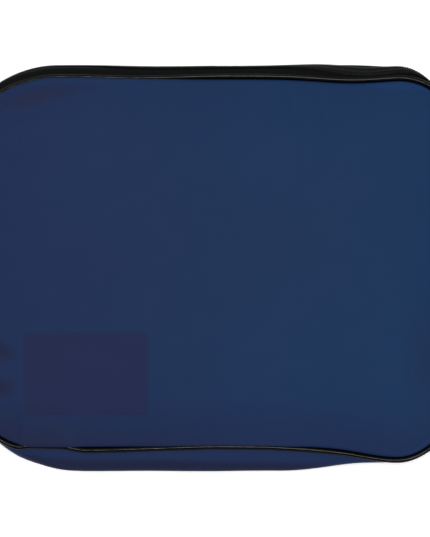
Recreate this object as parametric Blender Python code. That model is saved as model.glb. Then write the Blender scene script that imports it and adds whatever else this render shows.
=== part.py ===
"""A cash deposit bag: a soft pouch of coated nylon with a zip round three sides, closed, lying on its back.

Metres. +Z points up out of the front panel, +Y points to the zipped top edge, and the origin is in the middle
of the flat face that the bag rests on. The front and back halves mirror each other about the zip: a panel, a
corded piping, a zip tape and a binding meet at each half's seam. The halves fold apart at the bottom gusset.
"""

import math

import bmesh
import bpy
from mathutils import Matrix, Vector

# The seam that runs round each panel, where the piping sits
SEAM_HALF_WIDTH = 0.166
SEAM_TOP = 0.127
SEAM_BOTTOM = -0.121
CORNER_RADIUS = 0.050
BACK_SEAM = 0.004
FRONT_SEAM = 0.022
MID_HEIGHT = (BACK_SEAM + FRONT_SEAM) / 2

# How far the bag's edge stands out past the seam, and how it is drawn in where the zip meets the gusset
ZIP_BULGE = 0.0068
GUSSET_BULGE = 0.0148
NIP = 0.0078
NIP_PLACE = math.radians(30)
NIP_SPREAD = math.radians(18.5)

# Sheet thicknesses, and the clearance between pieces that lie on each other
PANEL_THICK = 0.0009
TAPE_THICK = 0.0007
VINYL_THICK = 0.0004
CLEARANCE = 0.0003

# Panels: how far each one's middle stands out from its seam, and over what distance it gets there
FRONT_CROWN = 0.0075
FRONT_REACH = 0.070
BACK_CROWN = BACK_SEAM - PANEL_THICK / 2
BACK_REACH = 0.020
EDGE_INSET = 0.0032
EDGE_LIFT = 0.0012
EDGE_FOLD = (-0.00245, 0.0003)
PANEL_TURN_IN = 0.0026

# Seam allowances: the layers that turn into the bag at 45 degrees, and the binding folded round them
ALLOWANCE = 0.0095
PANEL_LAYER = 0.0013
TAPE_LAYER = -0.0012
BINDING_START = 0.004
BINDING_FOLD = ALLOWANCE + 2 * CLEARANCE
BINDING_PANEL_SIDE = PANEL_LAYER + PANEL_THICK / 2 + CLEARANCE + VINYL_THICK / 2
BINDING_TAPE_SIDE = TAPE_LAYER - TAPE_THICK / 2 - CLEARANCE - VINYL_THICK / 2

# The edge's section, from the seam allowance out to the chain: distance out, share of the bulge, and height
TAPE_TURN_IN = 0.003
UNDER_PIPING = (0.0002, 0, -0.00245)
EDGE_CURVE = ((0, 0.24, -0.0020), (0, 0.58, -0.0021), (0, 0.88, -0.0031))
GUSSET_FRONT_END = (0.001, 0, -0.00235)

# Piping: a cord inside a folded strip
CORD_RADIUS = 0.0010
COVER_RADIUS = 0.0015
COVER_LAYER = 0.00035
COVER_ARC_STEPS = 7
CORD_SIDES = 6
SEAM_FOLD_ANGLE = math.radians(225)

# Zip chain
CHAIN_HALF_SLOT = 0.0007
COIL_WIDTH = 0.0023
COIL_HEIGHT = 0.0016
COIL_CHAMFER = 0.00045
CHAIN_FLAT = 0.0044
ZIP_END_ANGLE = -60
COIL_END_SHIFT = 15
STOP_START_SHIFT = 9.5
STOP_END_SHIFT = 13.0
STOP_OVERLAP = 0.0003
GUSSET_END_SHIFT = 1.2

# Zip sliders, which meet nose to nose half way up the right-hand side
SLIDER_MEETING = 0.003
SLIDER_LENGTH = 0.013
SLIDER_HALF_WIDTH = 0.0043
SLIDER_INNER_HALF_WIDTH = 0.0036
SLIDER_PLATE = 0.0010
SLIDER_CUT = 0.0012
SLIDER_FLANGE = 0.0010
SLIDER_FLANGE_START = 0.003
SLIDER_POST_HALF = 0.0004
SLIDER_POST_START = 0.001
SLIDER_POST_LENGTH = 0.0045
BAIL_HALF_WIDTH = 0.0010
BAIL_START = 0.0025
BAIL_LENGTH = 0.0080
BAIL_RISE = 0.0032
BAIL_WALL = 0.0009
BAIL_OUTER_ARCH = ((0, 0), (0.0005, 0.65), (0.0020, 1.0))
BAIL_INNER_ARCH = ((0.00117, 0), (0.00147, 0.62), (0.0024, 1.0))
PIVOT_ALONG = 0.0065
PIVOT_RISE = 0.00125

# Pull tabs
PULL_THICK = 0.0012
PULL_LENGTH = 0.032
PULL_EYE_LENGTH = 0.0055
PULL_EYE_HALF_WIDTH = 0.0014
PULL_NECK_HALF_WIDTH = 0.0033
PULL_HALF_WIDTH = 0.0042
PULL_HOLE_RADIUS = 0.00225
PULL_HOLE_INSET = 0.0050
PULL_END_STEPS = 8
PULL_HOLE_SIDES = 12

# A blank label patch, low on the left of the front panel
PATCH_CENTRE = (-0.086, -0.070)
PATCH_SIZE = (0.0827, 0.0547)
PATCH_THICK = 0.0005
PATCH_GAP = 0.0006
PATCH_DIVISIONS = (6, 4)
ABOVE_PANEL = 0.1

# How finely the shapes are divided
ARC_STEP = 15
STRAIGHT_STEPS = 3
PANEL_RINGS = (1.0, 0.55, 0.30, 0.12, 0.0)
LEAST_CORNER_SHARE = 0.35
SHARP_ANGLE = math.radians(35)

# Each material's colour, roughness and metallic share
BLACK = (0.010, 0.010, 0.011)
LOOKS = {
    "navy_coated_nylon": ((0.017, 0.034, 0.093), 0.55, 0),
    "navy_label_vinyl": ((0.021, 0.028, 0.080), 0.50, 0),
    "black_piping_vinyl": (BLACK, 0.25, 0),
    "piping_cord": ((0.60, 0.58, 0.52), 0.80, 0),
    "black_zip_tape": (BLACK, 0.85, 0),
    "black_nylon_coil": (BLACK, 0.40, 0),
    "black_painted_metal": (BLACK, 0.35, 0.6),
}

CORNERS = ((1, -1), (1, 1), (-1, 1), (-1, -1))
DIAGONAL = math.sqrt(0.5)


# The seam line, as stations that any outline can be read from


def corner_point(corner, angle, out):
    """A point on one corner of the seam's rounded rectangle, grown outwards by out (negative: inwards)."""
    side, end = CORNERS[corner]
    top = SEAM_TOP + out
    bottom = SEAM_BOTTOM - out
    radius = max(CORNER_RADIUS + out, LEAST_CORNER_SHARE * (top - bottom) / 2)
    x = side * (SEAM_HALF_WIDTH + out - radius) + radius * math.cos(angle)
    y = (top - radius if end > 0 else bottom + radius) + radius * math.sin(angle)
    return Vector((x, y))


def seam_stations(first, last):
    """Stations anticlockwise round the seam, between two directions of its outward normal, in degrees.

    A station is (corner, next corner, share of the way between them, angle).
    """
    angles = [a for a in range(-360, 721, ARC_STEP) if first < a < last]
    stations = []
    for angle in [first, *angles, last]:
        corner = math.floor(angle / 90 + 1)
        if angle % 90 == 0:
            for step in range(STRAIGHT_STEPS + 1):
                stations.append(((corner - 1) % 4, corner % 4, step / STRAIGHT_STEPS, math.radians(angle)))
        else:
            stations.append((corner % 4, corner % 4, 0, math.radians(angle)))
    return stations


def whole_seam():
    return seam_stations(ZIP_END_ANGLE, ZIP_END_ANGLE + 360)[:-1]


def zip_run(shift=0):
    """The zip's stations, from the lower right corner over the top to the lower left, less shift degrees."""
    return seam_stations(ZIP_END_ANGLE + shift, 180 - ZIP_END_ANGLE - shift)


def bulge(angle):
    """How far the edge stands out where the seam's outward normal has this angle.

    It is most along the bottom, where the gusset is, and least at the two ends of the zip.
    """
    downward = max(0.0, -math.sin(angle))
    from_bottom = abs((math.degrees(angle) + 90 + 180) % 360 - 180)
    nip = NIP * math.exp(-(((math.radians(from_bottom) - NIP_PLACE) / NIP_SPREAD) ** 2))
    return ZIP_BULGE + (GUSSET_BULGE - ZIP_BULGE) * downward**4 - nip


def station_point(station, section_point):
    """The place of a section's point at a station. A section's point is (out, share of the bulge, height)."""
    corner, next_corner, mix, angle = station
    out, share, height = section_point
    grown = out + share * bulge(angle)
    flat = corner_point(corner, angle, grown).lerp(corner_point(next_corner, angle, grown), mix)
    return flat.to_3d() + Vector((0, 0, height))


# Sections: outlines across the seam. Away is the distance from the seam, away from the bag's middle height


def on_front(points):
    return [(out, share, FRONT_SEAM + away) for out, share, away in points]


def on_back(points):
    return [(out, share, BACK_SEAM - away) for out, share, away in points]


def allowance_point(depth, lift):
    """A point in the seam allowance: depth along it from the seam, and lift off its middle to the panel."""
    return (-DIAGONAL * (depth + lift), 0, DIAGONAL * (lift - depth))


def offset_line(line, distance):
    """A section's line moved sideways by distance, with mitred corners."""
    flat = [Vector((out + share * ZIP_BULGE, height)) for out, share, height in line]
    normals = [Vector((b.y - a.y, a.x - b.x)).normalized() for a, b in zip(flat, flat[1:])]
    moved = []
    for i, (out, share, height) in enumerate(line):
        before = normals[max(i - 1, 0)]
        after = normals[min(i, len(normals) - 1)]
        mitre = (before + after) / (1 + before.dot(after))
        moved.append((out + distance * mitre.x, share, height + distance * mitre.y))
    return moved


def strip(line, thickness):
    """The outline of a sheet that follows a line."""
    return offset_line(line, thickness / 2) + offset_line(line, -thickness / 2)[::-1]


def panel_line(crown, reach):
    """From the middle of a panel out to its seam, round a tight fold and into the seam allowance."""
    line = []
    for share in PANEL_RINGS:
        rise = 1 - (1 - share) ** 2
        line.append((-EDGE_INSET - reach * share, 0, EDGE_LIFT + (crown - EDGE_LIFT) * rise))
    line.append((EDGE_FOLD[0], 0, EDGE_FOLD[1]))
    line.append(allowance_point(PANEL_TURN_IN, PANEL_LAYER))
    line.append(allowance_point(ALLOWANCE, PANEL_LAYER))
    return line


def edge_line():
    """From the seam allowance, under the piping and out to the flat of the zip chain."""
    chain_edge = MID_HEIGHT + CHAIN_FLAT - FRONT_SEAM
    return [
        allowance_point(ALLOWANCE, TAPE_LAYER),
        allowance_point(TAPE_TURN_IN, TAPE_LAYER),
        UNDER_PIPING,
        *EDGE_CURVE,
        (0, 1, chain_edge),
    ]


def cover_line():
    """The strip folded round the piping's cord: one flange, the bead and the other flange."""
    slit = math.asin(COVER_LAYER / COVER_RADIUS)
    first = SEAM_FOLD_ANGLE - slit
    turn = math.tau - 2 * slit
    line = [allowance_point(ALLOWANCE, COVER_LAYER)]
    for step in range(COVER_ARC_STEPS + 1):
        angle = first - turn * step / COVER_ARC_STEPS
        line.append((COVER_RADIUS * math.cos(angle), 0, COVER_RADIUS * math.sin(angle)))
    line.append(allowance_point(ALLOWANCE, -COVER_LAYER))
    return line


def binding_line():
    return [
        allowance_point(BINDING_START, BINDING_PANEL_SIDE),
        allowance_point(BINDING_FOLD, BINDING_PANEL_SIDE),
        allowance_point(BINDING_FOLD, BINDING_TAPE_SIDE),
        allowance_point(BINDING_START, BINDING_TAPE_SIDE),
    ]


def cord_outline():
    turns = [math.tau * side / CORD_SIDES for side in range(CORD_SIDES)]
    return [(CORD_RADIUS * math.cos(a), 0, CORD_RADIUS * math.sin(a)) for a in turns]


def coil_outline():
    """One side of the zip chain, on the tape's outer face."""
    inner = MID_HEIGHT + CHAIN_HALF_SLOT - FRONT_SEAM
    outer = inner + COIL_WIDTH
    low = TAPE_THICK / 2 + CLEARANCE
    high = low + COIL_HEIGHT
    return [
        (low, 1, inner),
        (low, 1, outer),
        (high - COIL_CHAMFER, 1, outer),
        (high, 1, outer - COIL_CHAMFER),
        (high, 1, inner + COIL_CHAMFER),
        (high - COIL_CHAMFER, 1, inner),
    ]


# Building objects


def material(name):
    made = bpy.data.materials.get(name)
    if made is None:
        made = bpy.data.materials.new(name)
        made.use_nodes = True
        shader = made.node_tree.nodes["Principled BSDF"]
        colour, roughness, metallic = LOOKS[name]
        shader.inputs["Base Color"].default_value = (*colour, 1)
        shader.inputs["Roughness"].default_value = roughness
        shader.inputs["Metallic"].default_value = metallic
    return made


def empty(name, place):
    made = bpy.data.objects.new(name, None)
    made.location = place
    bpy.context.scene.collection.objects.link(made)
    return made


def add_object(name, data, look, parent=None):
    """Links an object whose data is in the bag's own frame, and hangs it on an empty without moving it."""
    made = bpy.data.objects.new(name, data)
    bpy.context.scene.collection.objects.link(made)
    if look is not None:
        data.materials.append(look)
    if parent is not None:
        made.parent = parent
        made.location = -parent.location
    return made


def finish_mesh(name, shape):
    """A mesh from a closed bmesh, facing outwards and smooth except at its sharp edges."""
    bmesh.ops.recalc_face_normals(shape, faces=shape.faces)
    mesh = bpy.data.meshes.new(name)
    shape.to_mesh(mesh)
    shape.free()
    mesh.shade_smooth()
    mesh.set_sharp_from_angle(angle=SHARP_ANGLE)
    return mesh


def loft(shape, section, stations, looped, tube=True):
    """Adds the surface that a section sweeps along stations.

    looped: the stations go right round, so there are no ends to fill. tube: the section is a closed outline.
    Otherwise it is a line whose two ends are filled across the bag, as a panel's faces are.
    """
    rings = [[shape.verts.new(station_point(s, p)) for s in stations] for p in section]
    ring_pairs = list(zip(rings, rings[1:]))
    if tube:
        ring_pairs.append((rings[-1], rings[0]))
    else:
        shape.faces.new(rings[0])
        shape.faces.new(rings[-1])
    count = len(stations)
    for first, second in ring_pairs:
        for i in range(count if looped else count - 1):
            j = (i + 1) % count
            shape.faces.new((first[i], first[j], second[j], second[i]))
    if not looped:
        shape.faces.new([ring[0] for ring in rings])
        shape.faces.new([ring[-1] for ring in rings])


def lofted(name, section, stations, look, parent=None, looped=False, tube=True):
    shape = bmesh.new()
    loft(shape, section, stations, looped, tube)
    return add_object(name, finish_mesh(name, shape), look, parent)


def extruded(name, outline, axis, low, high, look, parent):
    """A flat outline pushed along an axis. Its two numbers are the other two axes, in X, Y, Z order."""
    shape = bmesh.new()
    sides = []
    for level in (low, high):
        points = [Vector((*pair[:axis], level, *pair[axis:])) for pair in outline]
        sides.append([shape.verts.new(point) for point in points])
    shape.faces.new(sides[0])
    shape.faces.new(sides[1])
    for i in range(len(outline)):
        j = (i + 1) % len(outline)
        shape.faces.new((sides[0][i], sides[0][j], sides[1][j], sides[1][i]))
    return add_object(name, finish_mesh(name, shape), look, parent)


def united(body, helpers):
    """Joins helper shapes into a body with Boolean unions."""
    for helper in helpers:
        helper.hide_render = True
        helper.display_type = "WIRE"
        join = body.modifiers.new("join_" + helper.name, "BOOLEAN")
        join.operation = "UNION"
        join.object = helper


# The parts of the bag


def make_half(prefix, place, crown, reach, parent):
    """A half's panel, piping, binding, zip tape and coil. Place puts a section on that half's seam."""
    navy = material("navy_coated_nylon")
    vinyl = material("black_piping_vinyl")
    cord = material("piping_cord")
    tape_look = material("black_zip_tape")
    coil_look = material("black_nylon_coil")
    around = whole_seam()

    panel = panel_line(crown, reach)
    faces = offset_line(panel, PANEL_THICK / 2) + offset_line(panel, -PANEL_THICK / 2)[::-1]
    made = lofted(prefix + "_panel", place(faces), around, navy, parent, looped=True, tube=False)

    cover = strip(cover_line(), VINYL_THICK)
    lofted(prefix + "_piping_cover", place(cover), around, vinyl, parent, looped=True)
    lofted(prefix + "_piping_cord", place(cord_outline()), around, cord, parent, looped=True)
    binding = strip(binding_line(), VINYL_THICK)
    lofted(prefix + "_seam_binding", place(binding), around, tape_look, parent, looped=True)

    tape_edge = (0, 1, MID_HEIGHT + CHAIN_HALF_SLOT - FRONT_SEAM)
    tape = strip([*edge_line(), tape_edge], TAPE_THICK)
    lofted(prefix + "_zip_tape", place(tape), zip_run(), tape_look, parent)
    lofted(prefix + "_zip_coil", place(coil_outline()), zip_run(COIL_END_SHIFT), coil_look, parent)

    return made


def make_end_stops():
    """The stop across both halves of the zip chain, at each of its ends."""
    look = material("black_painted_metal")
    half = CHAIN_HALF_SLOT + COIL_WIDTH + STOP_OVERLAP
    low = TAPE_THICK / 2 + CLEARANCE
    high = low + COIL_HEIGHT
    section = []
    for side in (-1, 1):
        edge = [(low, half), (high - COIL_CHAMFER, half), (high, half - COIL_CHAMFER)]
        section += [(out, 1, MID_HEIGHT + side * height) for out, height in edge[::side]]
    shift = STOP_END_SHIFT - STOP_START_SHIFT
    lower_right = ZIP_END_ANGLE + STOP_START_SHIFT
    lower_left = 180 - ZIP_END_ANGLE - STOP_END_SHIFT
    lofted("right_zip_end_stop", section, seam_stations(lower_right, lower_right + shift), look)
    lofted("left_zip_end_stop", section, seam_stations(lower_left, lower_left + shift), look)


def make_gusset():
    """The strip along the bottom, which reaches a little way up both corners to the ends of the zip."""
    back = edge_line()
    front = [GUSSET_FRONT_END, *EDGE_CURVE, back[-1]]
    line = on_back(back) + on_front(front)[::-1]
    first = 180 - ZIP_END_ANGLE + GUSSET_END_SHIFT
    last = 360 + ZIP_END_ANGLE - GUSSET_END_SHIFT
    navy = material("navy_coated_nylon")
    lofted("bottom_gusset", strip(line, PANEL_THICK), seam_stations(first, last), navy)


def make_label_patch(panel, parent):
    """A thin blank patch that follows the front panel's face."""
    across, up = PATCH_DIVISIONS
    bpy.ops.mesh.primitive_grid_add(x_subdivisions=across, y_subdivisions=up, size=1)
    patch = bpy.context.active_object
    patch.name = patch.data.name = "label_patch"
    patch.data.transform(Matrix.Diagonal((*PATCH_SIZE, 1, 1)))
    patch.data.transform(Matrix.Translation((*PATCH_CENTRE, ABOVE_PANEL)))
    patch.data.materials.append(material("navy_label_vinyl"))
    patch.parent = parent
    patch.location = -parent.location
    drop = patch.modifiers.new("lie_on_panel", "SHRINKWRAP")
    drop.target = panel
    drop.wrap_method = "PROJECT"
    drop.use_project_z = True
    drop.use_positive_direction = False
    drop.use_negative_direction = True
    drop.offset = PATCH_GAP
    thicken = patch.modifiers.new("thickness", "SOLIDIFY")
    thicken.thickness = PATCH_THICK
    thicken.offset = 1


def make_slider(prefix, direction):
    """A slider and its pull tab. Its nose is at the meeting point, and its tail points in the direction."""
    metal = material("black_painted_metal")
    tape_face = SEAM_HALF_WIDTH + ZIP_BULGE
    inner_face = tape_face - TAPE_THICK / 2 - CLEARANCE
    coil_top = tape_face + TAPE_THICK / 2 + CLEARANCE + COIL_HEIGHT
    plate_low = coil_top + CLEARANCE
    plate_high = plate_low + SLIDER_PLATE

    nose = SLIDER_MEETING + direction * CLEARANCE
    carriage = empty(prefix + "_slider_carriage", Vector((tape_face, nose, MID_HEIGHT)))

    def along(distance):
        return nose + direction * distance

    def plate_outline(half_width):
        tail = SLIDER_LENGTH
        inset = half_width - SLIDER_CUT
        corners = [(0, inset), (SLIDER_CUT, half_width), (tail - SLIDER_CUT, half_width), (tail, inset)]
        both = corners + [(y, -z) for y, z in corners[::-1]]
        return [(along(y), MID_HEIGHT + z) for y, z in both]

    def block_outline(start, end, low, high):
        pairs = ((start, low), (end, low), (end, high), (start, high))
        return [(along(y), MID_HEIGHT + z) for y, z in pairs]

    plate = plate_outline(SLIDER_HALF_WIDTH)
    body = extruded(prefix + "_slider_body", plate, 0, plate_low, plate_high, metal, carriage)
    plate = plate_outline(SLIDER_INNER_HALF_WIDTH)
    inner = extruded(prefix + "_inner_plate", plate, 0, inner_face - SLIDER_PLATE, inner_face, None, carriage)
    bite = SLIDER_PLATE / 2
    post_end = SLIDER_POST_START + SLIDER_POST_LENGTH
    block = block_outline(SLIDER_POST_START, post_end, -SLIDER_POST_HALF, SLIDER_POST_HALF)
    post = extruded(prefix + "_post", block, 0, inner_face - bite, plate_low + bite, None, carriage)
    flange_low = tape_face + TAPE_THICK / 2 + CLEARANCE
    flanges = []
    for side in (-1, 1):
        low, high = sorted((side * (SLIDER_HALF_WIDTH - SLIDER_FLANGE), side * SLIDER_HALF_WIDTH))
        block = block_outline(SLIDER_FLANGE_START, SLIDER_LENGTH - SLIDER_CUT, low, high)
        name = f"{prefix}_flange_{side}"
        flanges.append(extruded(name, block, 0, flange_low, plate_low + bite, None, carriage))
    united(body, [inner, post, *flanges])

    make_bail(prefix, plate_high + CLEARANCE, along, carriage, metal)
    pivot = Vector((plate_high + PIVOT_RISE, along(PIVOT_ALONG), MID_HEIGHT))
    make_pull_tab(prefix, pivot, direction, metal)


def make_bail(prefix, foot, along, carriage, metal):
    """The arch on a slider that holds its pull tab."""
    def arch(shape, rise):
        up = [(BAIL_START + y, share * rise) for y, share in shape]
        down = [(BAIL_START + BAIL_LENGTH - y, share * rise) for y, share in shape[::-1]]
        return up + down

    outer = arch(BAIL_OUTER_ARCH, BAIL_RISE)
    inner = arch(BAIL_INNER_ARCH, BAIL_RISE - BAIL_WALL)
    outline = [(foot + x, along(y)) for y, x in outer + inner[::-1]]
    low = MID_HEIGHT - BAIL_HALF_WIDTH
    extruded(prefix + "_slider_bail", outline, 2, low, low + 2 * BAIL_HALF_WIDTH, metal, carriage)


def make_pull_tab(prefix, pivot, direction, metal):
    """A flat tab with an eye for the bail and a hole for a padlock or a seal, turned about its pivot bar."""
    bar = PULL_THICK / 2
    outline = [(-bar, -PULL_NECK_HALF_WIDTH), (PULL_EYE_LENGTH, -PULL_NECK_HALF_WIDTH)]
    end = PULL_LENGTH - PULL_HALF_WIDTH
    for step in range(PULL_END_STEPS + 1):
        angle = math.pi * (step / PULL_END_STEPS - 0.5)
        outline.append((end + PULL_HALF_WIDTH * math.cos(angle), PULL_HALF_WIDTH * math.sin(angle)))
    outline += [(PULL_EYE_LENGTH, PULL_NECK_HALF_WIDTH), (-bar, PULL_NECK_HALF_WIDTH)]
    eye = [(bar, -PULL_EYE_HALF_WIDTH), (PULL_EYE_LENGTH, -PULL_EYE_HALF_WIDTH)]
    eye += [(PULL_EYE_LENGTH, PULL_EYE_HALF_WIDTH), (bar, PULL_EYE_HALF_WIDTH)]
    hole_centre = PULL_LENGTH - PULL_HOLE_INSET
    hole = []
    for side in range(PULL_HOLE_SIDES):
        angle = math.tau * side / PULL_HOLE_SIDES
        hole.append((hole_centre + PULL_HOLE_RADIUS * math.cos(angle), PULL_HOLE_RADIUS * math.sin(angle)))

    curve = bpy.data.curves.new(prefix + "_pull_tab", "CURVE")
    curve.dimensions = "2D"
    curve.fill_mode = "BOTH"
    curve.extrude = PULL_THICK / 2
    for loop in (outline, eye, hole):
        spline = curve.splines.new("POLY")
        spline.points.add(len(loop) - 1)
        spline.use_cyclic_u = True
        for point, (x, y) in zip(spline.points, loop):
            point.co = (x, y, 0, 1)
    tab = add_object(prefix + "_pull_tab", curve, metal)
    tab.location = pivot
    turned = Matrix(((0, 0, 1), (direction, 0, 0), (0, direction, 0)))
    tab.rotation_euler = turned.to_euler()


def main():
    for old in list(bpy.data.objects):
        bpy.data.objects.remove(old)
    hinge = empty("front_half_hinge", Vector((0, SEAM_BOTTOM - bulge(-math.pi / 2), MID_HEIGHT)))
    make_half("back", on_back, BACK_CROWN, BACK_REACH, None)
    front_panel = make_half("front", on_front, FRONT_CROWN, FRONT_REACH, hinge)
    make_end_stops()
    make_gusset()
    make_label_patch(front_panel, hinge)
    make_slider("upper", 1)
    make_slider("lower", -1)


main()
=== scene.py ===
"""The looks of the cash deposit bag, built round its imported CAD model."""

import math

import bmesh
import bpy
import numpy as np
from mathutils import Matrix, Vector
from mathutils.bvhtree import BVHTree


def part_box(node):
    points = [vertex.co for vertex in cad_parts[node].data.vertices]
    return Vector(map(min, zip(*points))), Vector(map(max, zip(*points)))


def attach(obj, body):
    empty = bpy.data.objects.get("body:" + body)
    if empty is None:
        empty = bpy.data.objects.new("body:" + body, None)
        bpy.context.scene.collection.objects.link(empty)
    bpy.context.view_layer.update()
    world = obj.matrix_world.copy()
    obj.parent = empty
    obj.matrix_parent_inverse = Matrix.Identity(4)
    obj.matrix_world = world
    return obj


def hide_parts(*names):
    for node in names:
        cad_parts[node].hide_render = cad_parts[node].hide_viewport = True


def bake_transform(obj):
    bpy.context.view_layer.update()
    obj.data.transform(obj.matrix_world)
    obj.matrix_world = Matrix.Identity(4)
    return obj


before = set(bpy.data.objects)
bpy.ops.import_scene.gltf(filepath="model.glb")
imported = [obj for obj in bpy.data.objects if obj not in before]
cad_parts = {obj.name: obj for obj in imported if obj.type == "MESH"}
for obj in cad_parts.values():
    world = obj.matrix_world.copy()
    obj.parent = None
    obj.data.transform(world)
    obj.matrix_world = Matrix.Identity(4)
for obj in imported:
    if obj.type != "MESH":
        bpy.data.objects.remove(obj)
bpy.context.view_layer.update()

MM = 0.001
BACK, FRONT = "back_half", "front_half"

# The seam's rounded rectangle, read from the CAD piping cords
CORD = 1.0 * MM
cord_low, cord_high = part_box("front_piping_cord")
back_cord_low, back_cord_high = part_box("back_piping_cord")
HALF_WIDTH = cord_high.x - CORD
TOP = cord_high.y - CORD
BOTTOM = cord_low.y + CORD
FRONT_Z = (cord_low.z + cord_high.z) / 2
BACK_Z = (back_cord_low.z + back_cord_high.z) / 2
MID_Z = (FRONT_Z + BACK_Z) / 2
COIL_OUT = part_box("front_zip_coil")[1].x - HALF_WIDTH
FOLD_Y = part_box("bottom_gusset")[0].y

# The soft bag's corners aren't alike: right top, left top, left bottom, right bottom
RADII = (46 * MM, 60 * MM, 47 * MM, 45 * MM)

# The radius of the piping's bead, and the thickness of each sheet
BEAD = 1.5 * MM
TAPE = 0.6 * MM
SHEET = 0.5 * MM
VINYL = 0.35 * MM
BINDING = 0.4 * MM

# In the tables below, x and y are in millimetres. A bump is (middle, width, size), and a stretch is
# (where it begins to rise, where it is full, where it begins to fall, where it ends, size)

# Where the bag's top and bottom begin, and where they are reached in full, by y
TOP_EDGE, BOTTOM_EDGE = (70, 112), (-60, -105)

# The edges stray at the front and hardly behind: the heights between which that grows
STRAY_HEIGHTS = (BACK_Z + 6 * MM, FRONT_Z - 1 * MM)

# How far the front panel's edge lies over the bead, in millimetres, and how much counts as a full lap
LAPS_AT_BOTTOM = ((-85, 0, 30, 80, 1.4), (-134, -122, -104, -86, 2.6))
LAP_AT_TOP, LAP_AT_TOP_ENDS = 1.5, (-60, 10)
FULL_LAP = 1.2

# How far the front's top and bottom edges stray upwards from the rounded rectangle, in millimetres
TOP_LIFT, TOP_CORNER_LIFT, TOP_CORNER = 1.3, 3.0, (-118, -150)
TOP_STRAY = ((92, 32, -2.6), (-100, 35, 1.2))
BOTTOM_STRAY = ((122, 34, -7.0), (5, 40, 0.7), (-95, 30, -0.3))

# A station begins to face up or down where its normal's y is the first number, and does at the second
FACING = (0.5, 0.95)

# How far the rim between the seams stands out: along the gusset, where the zip meets it, and at the top.
# The zip comes out, and the upper right corner is drawn in, some degrees from straight down and up
GUSSET_STRETCH = (-153, -96, 42, 145, 1)
TUCK = 0.8 * MM
TOP_BULGE = 6.0 * MM
TOP_BULGES = ((88, 38, 3.0), (-100, 50, 1.0))
ZIP_FROM_BOTTOM = (38, 75)
DRAWN_IN = (35, 18, 5.0)

# How far the chain stands off the rim, and how far the rim's ends lie inside the two seams
CHAIN_HEIGHT = 2.25 * MM
RIM_DROP = 2.1 * MM

# How far the chain lies from the middle of the rim towards the front, as a share of the way
CHAIN_FORWARD = ((102, 40, 0.60), (-10, 60, 0.14), (-115, 40, -0.12))

# The rim's section is a rounded box, and turns towards an oval at the upper right and along the gusset
BOX_POWERS = (0.62, 0.72)
OVAL_AT_TOP, OVAL_AT_BOTTOM = (102, 50, 1.0), 0.9

# The zip's ends, as directions of the seam's normal in degrees, and where the gusset takes over
ZIP_END, GUSSET_END = -60, -58


def smooth(low, high, value):
    t = np.clip((value - low) / (high - low), 0, 1)
    return t * t * (3 - 2 * t)


def bump(value, centre, width):
    return np.exp(-(((value - centre) / width) ** 2))


def bumps(x, table):
    return sum(size * bump(x, middle, width) for middle, width, size in table)


def stretch(x, rise, full, fall, end, size):
    return size * smooth(rise, full, x) * (1 - smooth(fall, end, x))


# ---------------------------------------------------------------- the seam line


def corner_centres():
    right, left = HALF_WIDTH, -HALF_WIDTH
    r = RADII
    tops = ((right - r[0], TOP - r[0]), (left + r[1], TOP - r[1]))
    bottoms = ((left + r[2], BOTTOM + r[2]), (right - r[3], BOTTOM + r[3]))
    return tops + bottoms


def seam_line(step):
    """Points and outward normals round the seam, anticlockwise from the foot of the right side."""
    points, normals = [], []
    centres = corner_centres()
    starts = [(HALF_WIDTH, BOTTOM + RADII[3])]
    for i in range(4):
        angle = math.pi / 2 * (i + 1)
        cx, cy = centres[i]
        starts.append((cx + RADII[i] * math.cos(angle), cy + RADII[i] * math.sin(angle)))
    for i in range(4):
        cx, cy = centres[i]
        first = math.pi / 2 * i
        x0, y0 = starts[i]
        x1, y1 = cx + RADII[i] * math.cos(first), cy + RADII[i] * math.sin(first)
        count = max(2, round(math.hypot(x1 - x0, y1 - y0) / step))
        for k in range(count):
            f = k / count
            points.append((x0 + (x1 - x0) * f, y0 + (y1 - y0) * f))
            normals.append((math.cos(first), math.sin(first)))
        count = max(2, round(RADII[i] * math.pi / 2 / step))
        for k in range(count):
            a = first + math.pi / 2 * k / count
            points.append((cx + RADII[i] * math.cos(a), cy + RADII[i] * math.sin(a)))
            normals.append((math.cos(a), math.sin(a)))
    return np.array(points), np.array(normals)


class Line:
    """Stations along the seam, or along a stretch of it."""

    def __init__(self, points, normals):
        self.p, self.n, self.x = points, normals, points[:, 0]

    def place(self, section):
        """Points, rows x stations x 3, from rows of (out, z), each a number or one value a station."""
        rows = []
        for out, z in section:
            out = np.broadcast_to(out, self.x.shape)
            flat = self.p + self.n * out[:, None]
            rows.append(np.column_stack([flat, np.broadcast_to(z, self.x.shape)]))
        return warp(np.array(rows))

    def along(self):
        """The distance from the first station to each station."""
        return np.concatenate([[0], np.cumsum(np.linalg.norm(np.diff(self.p, axis=0), axis=1))])


def lap(x, y):
    """How far the front panel's edge lies over the bead, in millimetres, at x, y in millimetres."""
    at_top = LAP_AT_TOP * (1 - smooth(*LAP_AT_TOP_ENDS, x))
    at_bottom = sum(stretch(x, *each) for each in LAPS_AT_BOTTOM)
    return smooth(*BOTTOM_EDGE, y) * at_bottom + smooth(*TOP_EDGE, y) * at_top


def warp(points):
    """The bag's slack: its edges stray from the rounded rectangle, more at the front than behind."""
    x, y, z = points[..., 0] / MM, points[..., 1] / MM, points[..., 2]
    front = smooth(*STRAY_HEIGHTS, z)
    at_top, at_bottom = smooth(*TOP_EDGE, y), smooth(*BOTTOM_EDGE, y)
    top = TOP_LIFT + TOP_CORNER_LIFT * smooth(*TOP_CORNER, x) + bumps(x, TOP_STRAY)
    moved = points.copy()
    moved[..., 1] += MM * front * (at_top * top + at_bottom * bumps(x, BOTTOM_STRAY))
    moved[..., 1] += MM * front * lap(x, y) * (at_bottom - at_top)
    return moved


def whole(step):
    return Line(*seam_line(step))


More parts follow.
